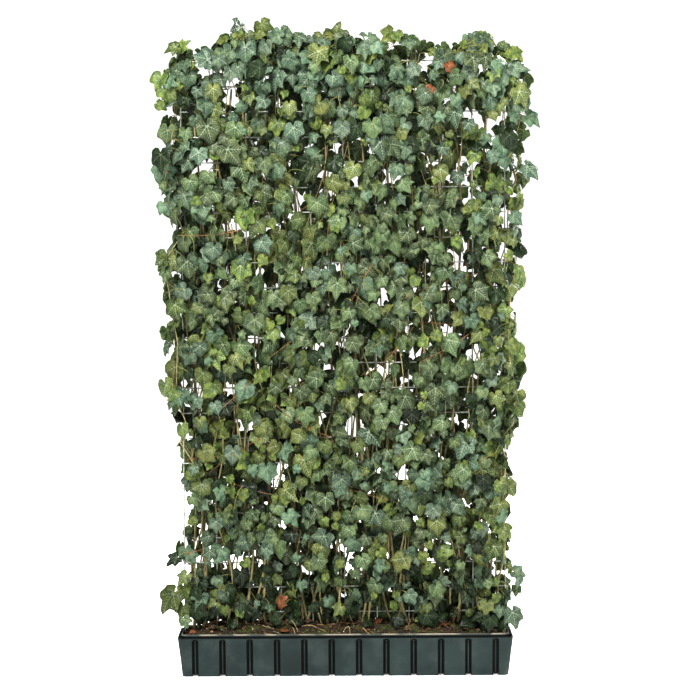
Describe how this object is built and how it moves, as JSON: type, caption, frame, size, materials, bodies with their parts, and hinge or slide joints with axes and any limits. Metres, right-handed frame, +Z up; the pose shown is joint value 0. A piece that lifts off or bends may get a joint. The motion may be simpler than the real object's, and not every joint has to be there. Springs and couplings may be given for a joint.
{
  "type": "potted ivy hedge",
  "caption": "Ready-grown ivy screen: lobed evergreen leaves covering both sides of a welded wire mesh panel that stands in a long, grooved dark plastic trough of soil.",
  "frame": {"origin": "on the floor under the middle of the trough, on the underside of its middle foot pad", "axes": "+Z up, X along the hedge's length, Y through its thickness, -Y the front"},
  "size_m": [1.152, 0.2069, 1.942],
  "materials": {
    "trough_plastic": "satin",
    "potting_mix": "matte",
    "galvanised_wire": "satin",
    "ivy_bark": "matte",
    "ivy_leaf": "satin"
  },
  "bodies": {
    "root": {"trough": "trough_plastic", "potting_soil": "potting_mix", "mesh_wire_vertical_01": "galvanised_wire", "mesh_wire_vertical_02": "galvanised_wire", "mesh_wire_vertical_03": "galvanised_wire", "mesh_wire_vertical_04": "galvanised_wire", "mesh_wire_vertical_05": "galvanised_wire", "mesh_wire_vertical_06": "galvanised_wire", "mesh_wire_vertical_07": "galvanised_wire", "mesh_wire_vertical_08": "galvanised_wire", "mesh_wire_vertical_09": "galvanised_wire", "mesh_wire_vertical_10": "galvanised_wire", "mesh_wire_vertical_11": "galvanised_wire", "mesh_wire_horizontal_01": "galvanised_wire", "mesh_wire_horizontal_02": "galvanised_wire", "mesh_wire_horizontal_03": "galvanised_wire", "mesh_wire_horizontal_04": "galvanised_wire", "mesh_wire_horizontal_05": "galvanised_wire", "mesh_wire_horizontal_06": "galvanised_wire", "mesh_wire_horizontal_07": "galvanised_wire", "mesh_wire_horizontal_08": "galvanised_wire", "mesh_wire_horizontal_09": "galvanised_wire", "mesh_wire_horizontal_10": "galvanised_wire", "mesh_wire_horizontal_11": "galvanised_wire", "mesh_wire_horizontal_12": "galvanised_wire", "mesh_wire_horizontal_13": "galvanised_wire", "mesh_wire_horizontal_14": "galvanised_wire", "mesh_wire_horizontal_15": "galvanised_wire", "mesh_wire_horizontal_16": "galvanised_wire", "mesh_wire_horizontal_17": "galvanised_wire", "mesh_wire_horizontal_18": "galvanised_wire", "mesh_wire_horizontal_19": "galvanised_wire", "mesh_wire_horizontal_20": "galvanised_wire", "mesh_wire_horizontal_21": "galvanised_wire", "mesh_wire_horizontal_22": "galvanised_wire", "mesh_wire_horizontal_23": "galvanised_wire", "mesh_wire_horizontal_24": "galvanised_wire", "mesh_wire_horizontal_25": "galvanised_wire", "ivy_01_stem": "ivy_bark", "ivy_02_stem": "ivy_bark", "ivy_03_stem": "ivy_bark", "ivy_04_stem": "ivy_bark", "ivy_05_stem": "ivy_bark", "ivy_06_stem": "ivy_bark", "ivy_07_stem": "ivy_bark", "ivy_08_stem": "ivy_bark", "ivy_09_stem": "ivy_bark", "ivy_10_stem": "ivy_bark", "ivy_01_leaves": "ivy_leaf", "ivy_02_leaves": "ivy_leaf", "ivy_03_leaves": "ivy_leaf", "ivy_04_leaves": "ivy_leaf", "ivy_05_leaves": "ivy_leaf", "ivy_06_leaves": "ivy_leaf", "ivy_07_leaves": "ivy_leaf", "ivy_08_leaves": "ivy_leaf", "ivy_09_leaves": "ivy_leaf", "ivy_10_leaves": "ivy_leaf"}
  },
  "joints": []
}
